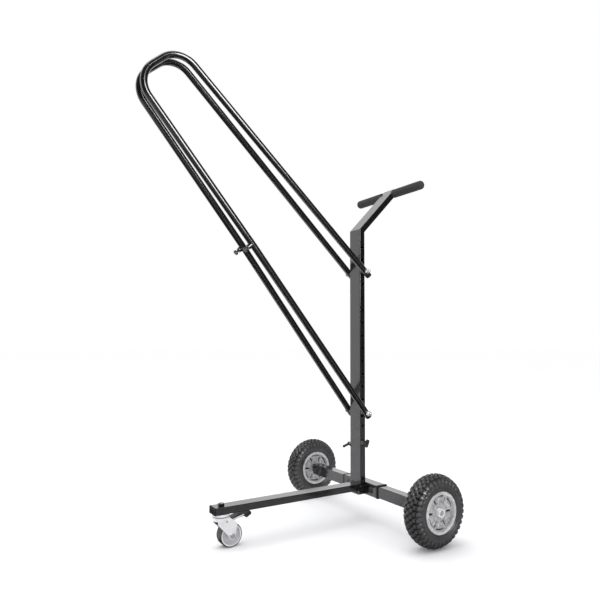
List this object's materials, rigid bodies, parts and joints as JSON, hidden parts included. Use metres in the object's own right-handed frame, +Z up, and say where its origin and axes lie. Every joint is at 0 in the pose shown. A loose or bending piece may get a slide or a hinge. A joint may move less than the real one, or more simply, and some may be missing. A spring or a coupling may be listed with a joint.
{
  "type": "three-wheeled stand cart",
  "caption": "Upright push cart: a flat mast on a T-shaped wheeled base, a leaning push handle and sloping hairpin rails that carry stands between them.",
  "frame": {"origin": "on the floor, under the middle of the cart's box", "axes": "+Z up, +X along the rear axle, +Y to the rear, towards the push handle"},
  "size_m": [0.674, 0.8851, 1.3469],
  "materials": {
    "black_coat": "gloss",
    "plain_steel": "satin",
    "zinc": "bright",
    "black_plastic": "matte",
    "tyre": "matte",
    "caster_rubber": "matte",
    "rim_grey": "satin",
    "caster_white": "satin",
    "grip_foam": "matte"
  },
  "bodies": {
    "frame": {"axle_end_plates": "black_coat", "axle_tube_left": "black_coat", "axle_tube_right": "black_coat", "base_post": "black_coat", "caster_balls": "plain_steel", "caster_race": "zinc", "caster_stem": "plain_steel", "clamp_bosses": "black_coat", "cross_sleeve": "black_coat", "front_leg": "black_coat", "grip_left": "grip_foam", "grip_right": "grip_foam", "handle_bar": "black_coat", "handle_neck": "black_coat", "leg_cross_bolt": "black_coat", "leg_cross_nut": "black_coat", "leg_end_plug": "black_plastic", "leg_packer": "black_plastic", "leg_socket": "black_coat", "mast_tube": "black_coat", "neck_end_cap": "black_plastic", "post_spigot": "plain_steel", "rail_bolt_lower": "zinc", "rail_bolt_upper": "zinc", "rail_cap_nuts": "zinc", "rail_left": "black_coat", "rail_plugs": "black_plastic", "rail_right": "black_coat", "rail_spacers": "black_coat", "rail_washers": "zinc", "screw_bosses": "black_coat", "sleeve_bolts": "black_coat", "sleeve_collars": "black_plastic", "sleeve_nuts": "black_coat", "stem_nut": "black_coat", "strut_left": "black_coat", "strut_right": "black_coat", "stub_axle_left": "plain_steel", "stub_axle_right": "plain_steel", "wheel_nuts": "plain_steel", "wheel_spacers": "plain_steel", "wheel_washers": "plain_steel"},
    "wheel_left": {"tyre_left": "tyre", "rim_left": "rim_grey", "wheel_bearings_left": "plain_steel"},
    "wheel_right": {"tyre_right": "tyre", "rim_right": "rim_grey", "wheel_bearings_right": "plain_steel"},
    "caster_swivel": {"caster_fork": "zinc", "caster_axle_bolt": "plain_steel", "caster_axle_nut": "plain_steel", "brake_pin": "plain_steel"},
    "caster_wheel": {"caster_core": "caster_white", "caster_tyre": "caster_rubber"},
    "brake": {"brake_pedal": "black_plastic"},
    "clamp_left": {"clamp_lever": "black_plastic"},
    "clamp_right": {"wing_screw": "black_plastic"},
    "thumb_left": {"thumb_screw_left": "zinc"},
    "thumb_right": {"thumb_screw_right": "zinc"}
  },
  "joints": [
    {"name": "wheel_left_spin", "type": "hinge", "parent": "frame", "child": "wheel_left", "pos_m": [-0.306, 0.31382, 0.1], "axis": [1, 0, 0], "continuous": true},
    {"name": "wheel_right_spin", "type": "hinge", "parent": "frame", "child": "wheel_right", "pos_m": [0.306, 0.31382, 0.1], "axis": [1, 0, 0], "continuous": true},
    {"name": "caster_turn", "type": "hinge", "parent": "frame", "child": "caster_swivel", "pos_m": [0, -0.18528, 0.082], "axis": [0, 0, 1], "continuous": true},
    {"name": "caster_roll", "type": "hinge", "parent": "caster_swivel", "child": "caster_wheel", "pos_m": [0, -0.15928, 0.0325], "axis": [1, 0, 0], "continuous": true},
    {"name": "brake_press", "type": "hinge", "parent": "caster_swivel", "child": "brake", "pos_m": [0, -0.17528, 0.072], "axis": [1, 0, 0], "range_deg": [-12, 0]},
    {"name": "clamp_lever_turn", "type": "hinge", "parent": "frame", "child": "clamp_left", "pos_m": [-0.038, 0.28822, 0.228], "axis": [1, 0, 0], "range_deg": [-120, 120]},
    {"name": "wing_screw_turn", "type": "hinge", "parent": "frame", "child": "clamp_right", "pos_m": [0.038, 0.28822, 0.242], "axis": [1, 0, 0], "range_deg": [-180, 180]},
    {"name": "thumb_left_turn", "type": "hinge", "parent": "frame", "child": "thumb_left", "pos_m": [-0.02995, -0.13478, 0.82195], "axis": [0, -0.7684, -0.64], "range_deg": [-180, 180]},
    {"name": "thumb_right_turn", "type": "hinge", "parent": "frame", "child": "thumb_right", "pos_m": [0.02995, -0.13478, 0.82195], "axis": [0, -0.7684, -0.64], "range_deg": [-180, 180]}
  ]
}
